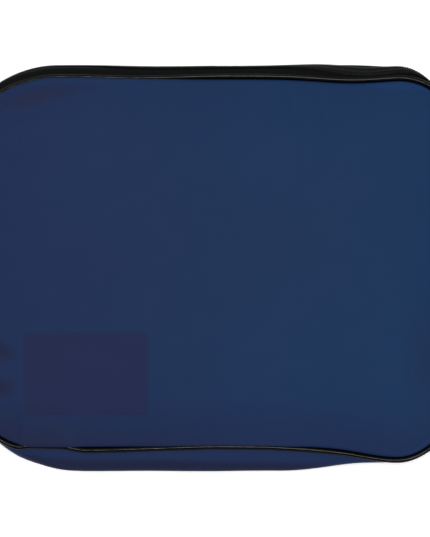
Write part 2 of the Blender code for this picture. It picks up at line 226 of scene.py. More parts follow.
def zip_line(step, end_gap=0.0):
    """The zip's stretch, from the lower right corner over the top to the lower left, less end_gap mm."""
    p, n = seam_line(step)
    angle = np.degrees(np.arctan2(n[:, 1], n[:, 0]))
    lowest = ZIP_END + math.degrees(end_gap * MM / RADII[3])
    keep = (angle >= lowest) | (angle <= -180 - lowest)
    start = np.argmax(~keep & np.roll(keep, -1))
    order = np.roll(np.arange(len(p)), -(start + 1))
    order = order[keep[order]]
    return Line(p[order], n[order])


def gusset_line(step):
    """The gusset's stretch along the bottom, which runs on a little past the zip's ends."""
    p, n = seam_line(step)
    angle = np.degrees(np.arctan2(n[:, 1], n[:, 0]))
    keep = (angle > -180 - GUSSET_END) & (angle < GUSSET_END)
    return Line(p[keep], n[keep])


# ---------------------------------------------------------------- the rim's section


SIDE_BULGE = COIL_OUT - CHAIN_HEIGHT
GUSSET_BULGE = BOTTOM - FOLD_Y - SHEET


def facing_up(line):
    return smooth(*FACING, line.n[:, 1])


def rim_bulge(line):
    """How far the edge stands out past the seam at each station: least at the ends of the zip."""
    x, up = line.x / MM, line.n[:, 1]
    from_bottom = np.degrees(np.arccos(np.clip(-up, -1, 1)))
    from_top = 180 - from_bottom
    top = TOP_BULGE + MM * bumps(x, TOP_BULGES)
    zipped = SIDE_BULGE + (top - SIDE_BULGE) * facing_up(line)
    zipped = zipped - MM * bumps(from_top, [DRAWN_IN]) * (x > 0)
    filled = stretch(x, *GUSSET_STRETCH) * (up < 0)
    zipped = (zipped - TUCK) * smooth(*ZIP_FROM_BOTTOM, from_bottom)
    return TUCK + (GUSSET_BULGE - TUCK) * filled + zipped


def chain_place(line):
    """Where the chain lies on the rim's C: 1 is its middle, and less is nearer the front."""
    return 1 - facing_up(line) * bumps(line.x / MM, CHAIN_FORWARD)


def rim_point(line, turn):
    """A point on the rim's C: turn 0 under the front seam, 1 at the middle and 2 under the back seam."""
    oval = facing_up(line) * bumps(line.x / MM, [OVAL_AT_TOP])
    oval = oval + OVAL_AT_BOTTOM * smooth(*FACING, -line.n[:, 1])
    out_power, z_power = (power + (1 - power) * oval for power in BOX_POWERS)
    half = (FRONT_Z - BACK_Z) / 2 - RIM_DROP
    angle = turn * math.pi / 2
    s, c = np.sin(angle), np.cos(angle)
    out = rim_bulge(line) * np.sign(s) * np.abs(s) ** out_power
    z = MID_Z + half * np.sign(c) * np.abs(c) ** z_power
    return out, z


def turn_at(line, shift):
    """Where on the rim's C a point lies that is shift metres behind the chain's middle."""
    readings = 81
    turns = np.linspace(0, 2, readings)
    outs, heights = np.moveaxis(np.array([rim_point(line, turn) for turn in turns]), 1, 0)
    steps = np.hypot(np.diff(outs, axis=0), np.diff(heights, axis=0))
    runs = np.vstack([np.zeros(len(line.x)), np.cumsum(steps, axis=0)])
    place = chain_place(line)
    found = np.empty(len(line.x))
    for i, distance in enumerate(np.broadcast_to(shift, found.shape)):
        start = np.interp(place[i], turns, runs[:, i])
        found[i] = np.interp(start + distance, runs[:, i], turns)
    return found


def off_rim(line, shift, lift):
    """Points lift metres off the rim, shift metres behind the chain's middle, and the rim's normals."""
    place, nudge = turn_at(line, shift), 0.02
    out, z = rim_point(line, place)
    out_on, z_on = rim_point(line, place + nudge)
    out_off, z_off = rim_point(line, place - nudge)
    run_out, run_z = out_on - out_off, z_on - z_off
    size = np.hypot(run_out, run_z)
    face_out, face_z = -run_z / size, run_out / size
    return (out + face_out * lift, z + face_z * lift), (face_out, face_z)


# ---------------------------------------------------------------- building meshes


def add(obj):
    bpy.context.scene.collection.objects.link(obj)
    return obj


def new_object(name, verts, faces, looks):
    mesh = bpy.data.meshes.new(name)
    mesh.from_pydata([tuple(v) for v in verts], [], faces)
    mesh.validate()
    for look in looks:
        mesh.materials.append(look)
    mesh.shade_smooth()
    return add(bpy.data.objects.new(name, mesh))


def apply_modifiers(obj):
    bpy.context.view_layer.update()
    graph = bpy.context.evaluated_depsgraph_get()
    mesh = bpy.data.meshes.new_from_object(obj.evaluated_get(graph), depsgraph=graph)
    obj.modifiers.clear()
    old = obj.data
    obj.data = mesh
    bpy.data.meshes.remove(old)


def outward(obj):
    shape = bmesh.new()
    shape.from_mesh(obj.data)
    bmesh.ops.recalc_face_normals(shape, faces=shape.faces)
    shape.to_mesh(obj.data)
    shape.free()
    return obj


def sweep(name, grid, looped, look):
    """A tube through rows x stations of points, closed from row to row; open ends are filled."""
    rows, count = grid.shape[:2]
    faces = []
    for r in range(rows):
        s = (r + 1) % rows
        for i in range(count if looped else count - 1):
            j = (i + 1) % count
            faces.append((r * count + i, r * count + j, s * count + j, s * count + i))
    if not looped:
        faces.append([r * count for r in range(rows)][::-1])
        faces.append([r * count + count - 1 for r in range(rows)])
    return outward(new_object(name, grid.reshape(-1, 3), faces, [look]))


def circle(sides):
    """The cosine and sine of each corner's angle round a regular outline."""
    for k in range(sides):
        angle = 2 * math.pi * k / sides
        yield math.cos(angle), math.sin(angle)


def ribbon(line, centre_rows, thickness):
    """A closed section: (out, z) rows down a sheet's middle, offset both ways by half its thickness."""
    outs = np.array([np.broadcast_to(out, line.x.shape) for out, _ in centre_rows])
    heights = np.array([np.broadcast_to(z, line.x.shape) for _, z in centre_rows])
    run_out, run_z = np.gradient(outs, axis=0), np.gradient(heights, axis=0)
    size = np.hypot(run_out, run_z)
    side_out, side_z = run_z / size * thickness / 2, -run_out / size * thickness / 2
    one = list(zip(outs + side_out, heights + side_z))
    two = list(zip(outs - side_out, heights - side_z))
    return one + two[::-1]


# ---------------------------------------------------------------- materials

# The coating's tones: painted shade, the left and right sides' own tones, painted highlight, and fine
# specks
NAVY_PAINTED_SHADE = (0.0132, 0.0182, 0.0510)
NAVY_LEFT = (0.0109, 0.0232, 0.0732)
NAVY_RIGHT = (0.0078, 0.0300, 0.0872)
NAVY_PAINTED_HIGHLIGHT = (0.0080, 0.0330, 0.1050)
NAVY_SPECK = (0.010, 0.018, 0.045)

# Painted shade towards the lower edge, where the cloth turns away from the light: where the tone starts
# to fade, where it has faded, and by how much
PANEL_LOW_SHADE = (-0.085, -0.125, 0.55)
GUSSET_LOW_SHADE = (-0.1245, -0.1335, 1.0)

# Oval patches of painted shade in creases and hollows, and of painted highlight where the amount is
# below 0: centre and half size in millimetres, turn in degrees, and how much darker it is
PANEL_SHADE_AND_HIGHLIGHT_PATCHES = (
    ((-117, 115), (64, 11), 15, 0.42),
    ((-150, -54), (24, 9), -12, 0.8),
    ((-150, -80), (26, 9), 6, 0.8),
    ((140, -60), (18, 50), 0, 0.35),
    ((118, 122.5), (36, 4.5), -5, -0.7),
    ((-85, 125), (50, 4), 2, -0.3),
)
# Painted shade along the gusset's fold crease, in the same form as the panel's patches
GUSSET_FOLD_SHADE = ((-118, -127.5), (17, 1.9), -19, 1.1)
PATCH_REACH = 0.1

# The coating's noises, from slow shifts of tone to its grain, and the run of x its tone changes over
SHIFTS, GLOSS_SHIFTS, SPECKS, GRAIN = 9.0, 60.0, 260.0, 1500.0
TONE_SPAN = {"From Min": -0.17, "From Max": 0.15}

RIB_PITCH = 1.1 * MM
TWILL_PITCH = 0.7 * MM


def nodes_of(name):
    look = bpy.data.materials.new(name)
    look.use_nodes = True
    tree = look.node_tree
    return look, tree, tree.nodes["Principled BSDF"]


def node(tree, kind, inputs=None, **settings):
    made = tree.nodes.new(kind)
    for key, value in settings.items():
        setattr(made, key, value)
    for key, value in (inputs or {}).items():
        made.inputs[key].default_value = value
    return made


def link(tree, source, target):
    tree.links.new(source, target)


def object_coords(tree):
    return node(tree, "ShaderNodeTexCoord").outputs["Object"]


def noise(tree, vector, scale, detail=3.0, roughness=0.5):
    made = node(tree, "ShaderNodeTexNoise", {"Scale": scale, "Detail": detail, "Roughness": roughness})
    link(tree, vector, made.inputs["Vector"])
    return made.outputs["Fac"]


def ramp(tree, factor, stops):
    made = node(tree, "ShaderNodeValToRGB")
    elements = made.color_ramp.elements
    while len(elements) < len(stops):
        elements.new(0.5)
    for element, (place, colour) in zip(elements, stops):
        element.position = place
        element.color = (*colour, 1)
    link(tree, factor, made.inputs["Fac"])
    return made.outputs["Color"]


def to_range(tree, factor, low, high):
    made = node(tree, "ShaderNodeMapRange", {"To Min": low, "To Max": high})
    link(tree, factor, made.inputs["Value"])
    return made.outputs["Result"]


def maths(tree, operation, a, b):
    made = node(tree, "ShaderNodeMath", operation=operation)
    for i, value in enumerate((a, b)):
        if isinstance(value, (int, float)):
            made.inputs[i].default_value = value
        else:
            link(tree, value, made.inputs[i])
    return made.outputs["Value"]


def mix(tree, factor, a, b):
    made = node(tree, "ShaderNodeMix", data_type="RGBA")
    for key, value in (("Factor", factor), ("A", a), ("B", b)):
        socket = [s for s in made.inputs if s.name == key and s.enabled][0]
        if isinstance(value, tuple):
            socket.default_value = (*value, 1)
        else:
            link(tree, value, socket)
    return [s for s in made.outputs if s.enabled][0]


def add_bump(tree, shader, height, strength, distance):
    made = node(tree, "ShaderNodeBump", {"Strength": strength, "Distance": distance})
    link(tree, height, made.inputs["Height"])
    link(tree, made.outputs["Normal"], shader.inputs["Normal"])


def patch_of_tone(tree, vector, centre, half_size, turn):
    """1 at centre (millimetres), easing to 0 at the edge of an oval turned by some degrees."""
    placed = node(tree, "ShaderNodeMapping", vector_type="TEXTURE")
    placed.inputs["Location"].default_value = (centre[0] * MM, centre[1] * MM, FRONT_Z)
    placed.inputs["Rotation"].default_value = (0, 0, math.radians(turn))
    placed.inputs["Scale"].default_value = (half_size[0] * MM, half_size[1] * MM, PATCH_REACH)
    link(tree, vector, placed.inputs["Vector"])
    reach = node(tree, "ShaderNodeVectorMath", operation="LENGTH")
    link(tree, placed.outputs["Vector"], reach.inputs[0])
    limits = {"From Min": 1.0, "From Max": 0.0}
    eased = node(tree, "ShaderNodeMapRange", limits, interpolation_type="SMOOTHSTEP")
    link(tree, reach.outputs["Value"], eased.inputs["Value"])
    return eased.outputs["Result"]


def coated_nylon(name, dull, left, right, strength=0.35, patches=(), low_shade_span=PANEL_LOW_SHADE):
    """Smooth navy coating: a faint grain, slow shifts of tone across the bag and a slight dull sheen.

    The tone goes from left to right across the bag and darkens towards its lower edge as painted shade.
    In patches it falls as painted shade or rises as painted highlight, where the cloth bends away from
    the light or towards it.
    """
    look, tree, shader = nodes_of(name)
    where = object_coords(tree)
    split = node(tree, "ShaderNodeSeparateXYZ")
    link(tree, where, split.inputs["Vector"])
    across = node(tree, "ShaderNodeMapRange", TONE_SPAN)
    link(tree, split.outputs["X"], across.inputs["Value"])
    slow = maths(tree, "SUBTRACT", noise(tree, where, SHIFTS, 2.0, 0.5), 0.5)
    tone = maths(tree, "ADD", across.outputs["Result"], maths(tree, "MULTIPLY", slow, 0.7))
    tone = maths(tree, "ADD", maths(tree, "MULTIPLY", tone, 0.6), 0.4)
    # Painted shade: the tone drops towards the lower edge
    start, end, amount = low_shade_span
    low = node(tree, "ShaderNodeMapRange", {"From Min": start, "From Max": end, "To Max": amount})
    link(tree, split.outputs["Y"], low.inputs["Value"])
    tone = maths(tree, "SUBTRACT", maths(tree, "MINIMUM", tone, 1.0), low.outputs["Result"])
    # Painted shade where a patch's amount is above 0, painted highlight where it is below
    for centre, half_size, turn, amount in patches:
        patch = patch_of_tone(tree, where, centre, half_size, turn)
        tone = maths(tree, "SUBTRACT", tone, maths(tree, "MULTIPLY", patch, amount))
    tone = maths(tree, "MULTIPLY", tone, 0.8)
    # The ramp runs from painted shade through the left and right tones up to painted highlight
    base = ramp(tree, tone, [(0.0, dull), (0.32, left), (0.8, right), (1.0, NAVY_PAINTED_HIGHLIGHT)])
    fine = noise(tree, where, SPECKS, 3.0, 0.6)
    mottled = mix(tree, maths(tree, "MULTIPLY", fine, 0.10), base, NAVY_SPECK)
    link(tree, mottled, shader.inputs["Base Color"])
    gloss = noise(tree, where, GLOSS_SHIFTS, 4.0, 0.6)
    link(tree, to_range(tree, gloss, 0.50, 0.64), shader.inputs["Roughness"])
    grain = node(tree, "ShaderNodeTexVoronoi", {"Scale": GRAIN}, feature="SMOOTH_F1")
    link(tree, where, grain.inputs["Vector"])
    coarse = maths(tree, "MULTIPLY", grain.outputs["Distance"], 0.5)
    height = maths(tree, "ADD", coarse, maths(tree, "MULTIPLY", fine, 1.2))
    add_bump(tree, shader, height, strength, 0.12 * MM)
    shader.inputs["Specular IOR Level"].default_value = 0.045
    return look


def woven(name, dark, light, pitch, upright=0.5):
    """A plain weave of threads a pitch apart; upright is how strongly it shows up upright faces."""
    look, tree, shader = nodes_of(name)
    where = object_coords(tree)
    split = node(tree, "ShaderNodeSeparateXYZ")
    link(tree, where, split.inputs["Vector"])
    waves = []
    for axis in "XYZ":
        scaled = maths(tree, "MULTIPLY", split.outputs[axis], 2 * math.pi / pitch)
        waves.append(maths(tree, "SINE", scaled, 0))
    cross = maths(tree, "MULTIPLY", waves[0], waves[1])
    weave = maths(tree, "ADD", cross, maths(tree, "MULTIPLY", waves[2], upright))
    weave = maths(tree, "MULTIPLY", maths(tree, "ADD", weave, 1.5), 0.33)
    slow = noise(tree, where, 45.0, 4.0)
    both = maths(tree, "ADD", maths(tree, "MULTIPLY", weave, 0.7), maths(tree, "MULTIPLY", slow, 0.4))
    link(tree, ramp(tree, both, [(0.15, dark), (0.95, light)]), shader.inputs["Base Color"])
    link(tree, to_range(tree, slow, 0.77, 0.93), shader.inputs["Roughness"])
    add_bump(tree, shader, both, 0.6, pitch * 0.35)
    shader.inputs["Specular IOR Level"].default_value = 0.2
    return look


def ribbed_tape(name, dark, light):
    """Zip tape: lengthwise ribs and a fine twill, by the mesh's own measures across and along."""
    look, tree, shader = nodes_of(name)
    where = object_coords(tree)
    across = node(tree, "ShaderNodeAttribute", attribute_name="across")
    along = node(tree, "ShaderNodeAttribute", attribute_name="along")
    rib, tick = (
        maths(tree, "SINE", maths(tree, "MULTIPLY", run.outputs["Fac"], 2 * math.pi / pitch), 0)
        for run, pitch in ((across, RIB_PITCH), (along, TWILL_PITCH))
    )
    weave = maths(tree, "ADD", maths(tree, "MULTIPLY", rib, 0.32), maths(tree, "MULTIPLY", tick, 0.16))
    weave = maths(tree, "ADD", weave, 0.5)
    slow = noise(tree, where, 70.0, 4.0)
    both = maths(tree, "ADD", maths(tree, "MULTIPLY", weave, 0.75), maths(tree, "MULTIPLY", slow, 0.25))
    link(tree, ramp(tree, both, [(0.15, dark), (0.85, light)]), shader.inputs["Base Color"])
    link(tree, to_range(tree, slow, 0.62, 0.85), shader.inputs["Roughness"])
    add_bump(tree, shader, both, 0.8, 0.22 * MM)
    shader.inputs["Specular IOR Level"].default_value = 0.05
    return look


def plastic(name, dark, light, rough, waviness, grain, metallic=0.0, level=0.5):
    """Moulded, extruded or painted surface with faint mottling, uneven gloss and small waviness."""
    look, tree, shader = nodes_of(name)
    where = object_coords(tree)
    slow = noise(tree, where, grain * 0.25, 4.0)
    fine = noise(tree, where, grain, 3.0)
    link(tree, ramp(tree, slow, [(0.3, dark), (0.7, light)]), shader.inputs["Base Color"])
    link(tree, to_range(tree, fine, *rough), shader.inputs["Roughness"])
    add_bump(tree, shader, fine, waviness, 0.2 * MM)
    shader.inputs["Metallic"].default_value = metallic
    shader.inputs["Specular IOR Level"].default_value = level
    return look


NAVY = coated_nylon("navy_coated_nylon", NAVY_PAINTED_SHADE, NAVY_LEFT, NAVY_RIGHT, patches=PANEL_SHADE_AND_HIGHLIGHT_PATCHES)
# The gusset's tone darkens to painted shade along its lower band and its fold crease
NAVY_GUSSET = coated_nylon(
    "navy_gusset", (0.0120, 0.0165, 0.0440), (0.0120, 0.0240, 0.0740), (0.0115, 0.0245, 0.0760),
    patches=[GUSSET_FOLD_SHADE], low_shade_span=GUSSET_LOW_SHADE,
)
PATCH = coated_nylon(
    "navy_label_vinyl", (0.0136, 0.0170, 0.0520), (0.0132, 0.0188, 0.0606), (0.0128, 0.0196, 0.0668), 0.2
)
BACKING = woven("nylon_backing", (0.010, 0.014, 0.028), (0.034, 0.042, 0.068), 0.9 * MM, upright=0)
VINYL_LOOK = plastic(
    "black_piping_vinyl", (0.0022, 0.0024, 0.0022), (0.0040, 0.0044, 0.0042), (0.08, 0.15), 0.15, 900.0,
    level=0.065,
)
CORD_LOOK = woven("piping_cord", (0.35, 0.33, 0.28), (0.66, 0.64, 0.58), 0.8 * MM)
TAPE_LOOK = ribbed_tape("black_zip_tape", (0.0012, 0.0013, 0.0015), (0.0064, 0.0069, 0.0074))
BIND_LOOK = woven("black_seam_binding", (0.004, 0.004, 0.005), (0.020, 0.020, 0.022), 0.7 * MM)
COIL_LOOK = plastic(
    "black_nylon_coil", (0.0130, 0.0134, 0.0140), (0.0210, 0.0217, 0.0224), (0.40, 0.55), 0.2, 1500.0,
    level=0.14,
)
# The real core cord inside the coil, coloured far darker than the coil as painted shade in the gaps
# between the teeth
CORE_SHADE_LOOK = plastic(
    "chain_core", (0.0008, 0.0008, 0.0009), (0.0020, 0.0021, 0.0022), (0.7, 0.9), 0.2, 900.0, level=0.03
)
METAL_LOOK = plastic(
    "black_painted_metal", (0.008, 0.008, 0.009), (0.016, 0.016, 0.017), (0.22, 0.38), 0.15, 700.0,
    metallic=0.4,
)
FLOOR_LOOK = plastic(
    "pale_floor", (0.93, 0.93, 0.93), (0.95, 0.95, 0.95), (0.8, 0.9), 0.02, 40.0, level=0.1
)
floor_shader = FLOOR_LOOK.node_tree.nodes["Principled BSDF"]
floor_shader.inputs["Emission Color"].default_value = (1, 1, 1, 1)
floor_shader.inputs["Emission Strength"].default_value = 0.40


# ---------------------------------------------------------------- panels

# Where a panel's sheet ends inside the seam
PANEL_INSET = 3.0 * MM

# The front panel's height over its seam: at its edge, added where it laps the bead, and in the middle
EDGE_RISE, LAP_RISE, CROWN = 1.2 * MM, 1.8 * MM, 7.0 * MM
CROWN_REACH, CROWN_POWER = 70 * MM, 2.2

# Puckers along the front panel's edge: height, number, how unevenly they are spaced, and where they fade
PUCKER, PUCKERS, PUCKER_DRIFT, PUCKER_TURNS = 0.10 * MM, 46, 3, 5
PUCKER_FADE = (2 * MM, 6 * MM, 6 * MM, 22 * MM, 1)

# The size of the soft sheets' slow waves, and how far in from its edge the front panel has them in full
WAVES = 0.35 * MM
WAVES_FROM = (4 * MM, 40 * MM)

# The back panel rises round its edge
BACK_EDGE, BACK_REACH = 1.0 * MM, 18 * MM

# The front panel's cloth simulation: grid, slack, share of gravity, frames and the most change in height
CLOTH_GRID = (84, 66)
SLACK = 0.0035
LIFTED = -0.25
SETTLE_FRAMES = 24
MOST_BILLOW = 2.2 * MM

# Soft valleys in the front panel, in millimetres: deepest point, far end, width and depth. Each fades
# along its length
CREASE_FADE = (-0.25, 0.1, 0.3, 1.0, 1)
CREASES = (
    ((-160, -50), (-132, -57), 4, 2.2),
    ((-160, -80), (-130, -84), 4, 2.0),
    ((-158, 92), (-80, 118), 6, 0.9),
    ((162, 40), (138, 20), 6, 0.7),
    ((160, -98), (136, -86), 6, 0.7),
)

# A panel's edge, from its outer fold into the seam allowance, in millimetres: out from the panel's rim,
# share of the lap added, share of the rim's height over the seam, the same again where it laps the bead,
# height added where it laps the bead, and height
PANEL_EDGE = (
    (0.45, 1.0, 0.62, 0.38, -0.15, 0),
    (0.80, 1.0, 0.30, 0.70, -0.55, 0),
    (0.60, 0.9, 0.10, 0.90, -0.95, 0),
    (0.55, 0.2, 0, 0, 1.5, 0),
    (0.50, 0, 0, 0, 0, -0.8),
    (0.10, 0, 0, 0, 0, -2.2),
    (-1.60, 0, 0, 0, 0, -4.2),
    (-3.20, 0, 0, 0, 0, -5.8),
)


def inside_distance(x, y):
    """How far a point lies inside the seam's rounded rectangle, eased so that there are no ridges."""
    mean, ease = 52 * MM, 45 * MM
    dx = np.abs(x) - (HALF_WIDTH - mean)
    dy = np.abs(y - (TOP + BOTTOM) / 2) - ((TOP - BOTTOM) / 2 - mean)
    outside = np.hypot(np.maximum(dx, 0), np.maximum(dy, 0))
    near = (dx + dy + np.sqrt((dx - dy) ** 2 + ease**2)) / 2
    inside = np.minimum(near, 0)
    plain = np.minimum(np.maximum(dx, dy), 0)
    return mean - outside - plain + (plain - inside) * smooth(0, ease, mean - outside - plain)


def crease(x, y, start, end, width, depth):
    """A soft valley from start to end, deepest at its start, as a change in height."""
    ax, ay = start[0] * MM, start[1] * MM
    bx, by = end[0] * MM - ax, end[1] * MM - ay
    length = math.hypot(bx, by)
    ux, uy = bx / length, by / length
    along = ((x - ax) * ux + (y - ay) * uy) / length
    side = ((x - ax) * -uy + (y - ay) * ux) / (width * MM * (0.6 + 0.8 * np.clip(along, 0, 1)))
    return -depth * MM * stretch(along, *CREASE_FADE) * np.exp(-(side**2))


def slack(x, y, seed, size):
    """Slow, uneven waves in a soft sheet, in metres."""
    random = np.random.RandomState(seed)
    total = np.zeros_like(x)
    waves, shortest, longest = 16, 0.045, 0.16
    for _ in range(waves):
        angle = random.uniform(0, math.pi)
        wave = random.uniform(shortest, longest)
        phase = random.uniform(0, 2 * math.pi)
        along = x * math.cos(angle) + y * math.sin(angle)
        total += wave / longest * np.sin(along * 2 * math.pi / wave + phase)
    return size * total / math.sqrt(waves)


def panel_height(x, y, depth):
    """The front panel's height over its seam."""
    rise = 1 - (1 - np.clip(depth / CROWN_REACH, 0, 1)) ** CROWN_POWER
    start = EDGE_RISE + LAP_RISE * smooth(0, FULL_LAP, lap(x / MM, y / MM))
    z = start + (CROWN - start) * rise
    z += slack(x, y, 4, WAVES) * smooth(*WAVES_FROM, depth)
    for each in CREASES:
        z += crease(x, y, *each)
    around = np.arctan2(y / 0.12, x / 0.166)
    uneven = PUCKER_DRIFT * np.sin(around * PUCKER_TURNS)
    z += stretch(depth, *PUCKER_FADE) * PUCKER * np.sin(around * PUCKERS + uneven)
    return z


def square_to_loop(u, v, loop):
    """Transfinite map of the unit square onto the area inside four sides, each sampled evenly."""
    bottom, right, top, left = loop

    def read(side, t):
        place = t * (len(side) - 1)
        i = np.clip(np.floor(place).astype(int), 0, len(side) - 2)
        f = (place - i)[..., None]
        return side[i] * (1 - f) + side[i + 1] * f

    b, t = read(bottom, u), read(top, u)
    l, r = read(left, v), read(right, v)
    u, v = u[..., None], v[..., None]
    corners = (1 - u) * (1 - v) * bottom[0] + u * (1 - v) * bottom[-1]
    corners = corners + (1 - u) * v * top[0] + u * v * top[-1]
    return (1 - v) * b + v * t + (1 - u) * l + u * r - corners


def four_sides(ring, normals):
    """Splits a ring into bottom, right, top and left, each read rightwards or upwards."""
    angle = np.degrees(np.arctan2(normals[:, 1], normals[:, 0])) % 360
    marks = [int(np.argmin(np.abs(((angle - a + 180) % 360) - 180))) for a in (45, 135, 225, 315)]
    count = len(ring)

    def arc(a, b):
        return ring[np.arange(a, b + 1 if b > a else b + count + 1) % count]

    top = arc(marks[0], marks[1])[::-1]
    left = arc(marks[1], marks[2])[::-1]
    bottom = arc(marks[2], marks[3])
    right = arc(marks[3], marks[0])
    return bottom, right, top, left


def blurred(grid, rounds):
    for _ in range(rounds):
        edged = np.pad(grid, 1, mode="edge")
        grid = (edged[:-2, 1:-1] + edged[2:, 1:-1] + edged[1:-1, :-2] + edged[1:-1, 2:] + 4 * grid) / 8
    return grid


def resampled(grid, nu, nv):
    """A grid of values read at nu x nv even places, bilinearly and then eased."""
    mu, mv = grid.shape
    pu, pv = np.linspace(0, mu - 1, nu), np.linspace(0, mv - 1, nv)
    rows = np.array([np.interp(pu, np.arange(mu), grid[:, j]) for j in range(mv)]).T
    full = np.array([np.interp(pv, np.arange(mv), row) for row in rows])
    return blurred(full, 3)


def grid_faces(index):
    """The quads between the points of a grid of vertex numbers."""
    rows, columns = index.shape
    return [
        (index[i, j], index[i + 1, j], index[i + 1, j + 1], index[i, j + 1])
        for i in range(rows - 1)
        for j in range(columns - 1)
    ]


def grid_border(index):
    """The vertex numbers round a grid's border, anticlockwise."""
    return [*index[:, 0], *index[-1, 1:], *index[-2::-1, -1], *index[0, -2:0:-1]]


def billow(sides, seam_z):
    """How far cloth simulation moves the closed bag's slack front from its even dome, in metres."""
    u, v = np.meshgrid(*(np.linspace(0, 1, count) for count in CLOTH_GRID), indexing="ij")
    flat = square_to_loop(u, v, sides)
    x, y = flat[..., 0], flat[..., 1]
    z = seam_z + panel_height(x, y, np.maximum(inside_distance(x, y), PANEL_INSET))
    index = np.arange(z.size).reshape(CLOTH_GRID)
    sheet = new_object("billowing_sheet", np.dstack([x, y, z]).reshape(-1, 3), grid_faces(index), [NAVY])
    pins = sheet.vertex_groups.new(name="seam")
    pins.add([int(i) for i in grid_border(index)], 1.0, "REPLACE")
    cloth = sheet.modifiers.new("cloth", "CLOTH")
    cloth.settings.quality = 7
    cloth.settings.mass = 0.12
    cloth.settings.tension_stiffness = 40
    cloth.settings.compression_stiffness = 40
    cloth.settings.shear_stiffness = 12
    cloth.settings.bending_stiffness = 1.5
    cloth.settings.air_damping = 4
    cloth.settings.vertex_group_mass = "seam"
    cloth.settings.shrink_min = -SLACK
    cloth.settings.shrink_max = -SLACK
    cloth.settings.effector_weights.gravity = LIFTED
    cloth.collision_settings.use_collision = False
    cloth.point_cache.frame_start, cloth.point_cache.frame_end = 1, SETTLE_FRAMES
    scene = bpy.context.scene
    for frame_number in range(1, SETTLE_FRAMES + 1):
        scene.frame_set(frame_number)
    apply_modifiers(sheet)
    moved = np.empty(z.size * 3)
    sheet.data.vertices.foreach_get("co", moved)
    change = moved.reshape(*CLOTH_GRID, 3)[..., 2] - z
    scene.frame_set(1)
    bpy.data.objects.remove(sheet)
    return MOST_BILLOW * np.tanh(change / MOST_BILLOW)


def make_panel(name, node_name, body, sign, seam_z, height_of):
    """A sheet that fills the seam, then turns in round the piping into the seam allowance."""
    p, n = seam_line(1.6 * MM)
    sides = four_sides(p - n * PANEL_INSET, n)
    nu, nv = len(sides[0]), len(sides[1])
    u, v = np.meshgrid(np.linspace(0, 1, nu), np.linspace(0, 1, nv), indexing="ij")
    flat = square_to_loop(u, v, sides)
    x, y = flat[..., 0], flat[..., 1]
    z = seam_z + sign * height_of(x, y, np.maximum(inside_distance(x, y), PANEL_INSET))
    if sign > 0:
        z += resampled(billow(sides, seam_z), nu, nv)

    index = np.arange(nu * nv).reshape(nu, nv)
    loop = grid_border(index)
    count = len(loop)
    verts = [np.dstack([x, y, z]).reshape(-1, 3)]
    faces = grid_faces(index)
    edge = verts[0][loop]
    rim = edge[:, :2]
    tangent = np.roll(rim, -1, 0) - np.roll(rim, 1, 0)
    normal = np.column_stack([tangent[:, 1], -tangent[:, 0]])
    normal /= np.linalg.norm(normal, axis=1)[:, None]
    crest = sign * (edge[:, 2] - seam_z) / MM
    over = lap(rim[:, 0] / MM, rim[:, 1] / MM) if sign > 0 else np.zeros(count)
    lapped = smooth(0, FULL_LAP, over)
    previous = loop
    for out, lap_share, crest_share, lapped_share, lapped_height, height in PANEL_EDGE:
        ring = rim + normal * ((out + lap_share * over) * MM)[:, None]
        level = height + crest * crest_share + lapped * (crest * lapped_share + lapped_height)
        verts.append(np.column_stack([ring, seam_z + sign * level * MM]))
        first = sum(len(each) for each in verts[:-1])
        current = list(range(first, first + count))
        for k in range(count):
            m = (k + 1) % count
            faces.append((previous[k], previous[m], current[m], current[k]))
        previous = current
    made = outward(new_object(name, warp(np.concatenate(verts)), faces, [NAVY, BACKING]))
    if sum(face.normal.z for face in made.data.polygons) * sign < 0:
        made.data.flip_normals()
    thicken = made.modifiers.new("thickness", "SOLIDIFY")
    thicken.thickness = SHEET
    thicken.offset = -1
    thicken.use_even_offset = False
    thicken.material_offset = 1
    apply_modifiers(made)
    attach(made, body)
    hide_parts(node_name)
    return made


def back_height(x, y, depth):
    """The back panel is pressed flat by what it lies on, and rises to its seam round the edge."""
    flat = BACK_Z - SHEET * 0.02
    rise = 1 - (1 - np.clip(depth / BACK_REACH, 0, 1)) ** 2
    return BACK_EDGE + (flat - BACK_EDGE) * rise


front_panel = make_panel("front_panel_cloth", "front_panel", FRONT, 1, FRONT_Z, panel_height)
make_panel("back_panel_cloth", "back_panel", BACK, -1, BACK_Z, back_height)


# ---------------------------------------------------------------- piping, bindings, tapes


def wave_along(line, seed, wave, size):
    """Slow unevenness along a line, per station."""
    random = np.random.RandomState(seed)
    along = line.along()
    length = along[-1] + along[1]
    total = np.zeros_like(along)
    waves = 6
    for _ in range(waves):
        turns = max(1, round(length / wave * random.uniform(0.6, 1.6)))
        total += np.sin(along / length * 2 * math.pi * turns + random.uniform(0, 6.28))
    return size * total / (waves / 2)


# The bead's number of sides, the way that its slit faces, and half the slit's angle. The cover's two
# tails end so many millimetres in and down from the seam
BEAD_SIDES, SLIT_FACES, HALF_SLIT = 14, math.radians(225), 0.22
TAILS = ((-4.6, 4.7), (-4.7, 5.0))


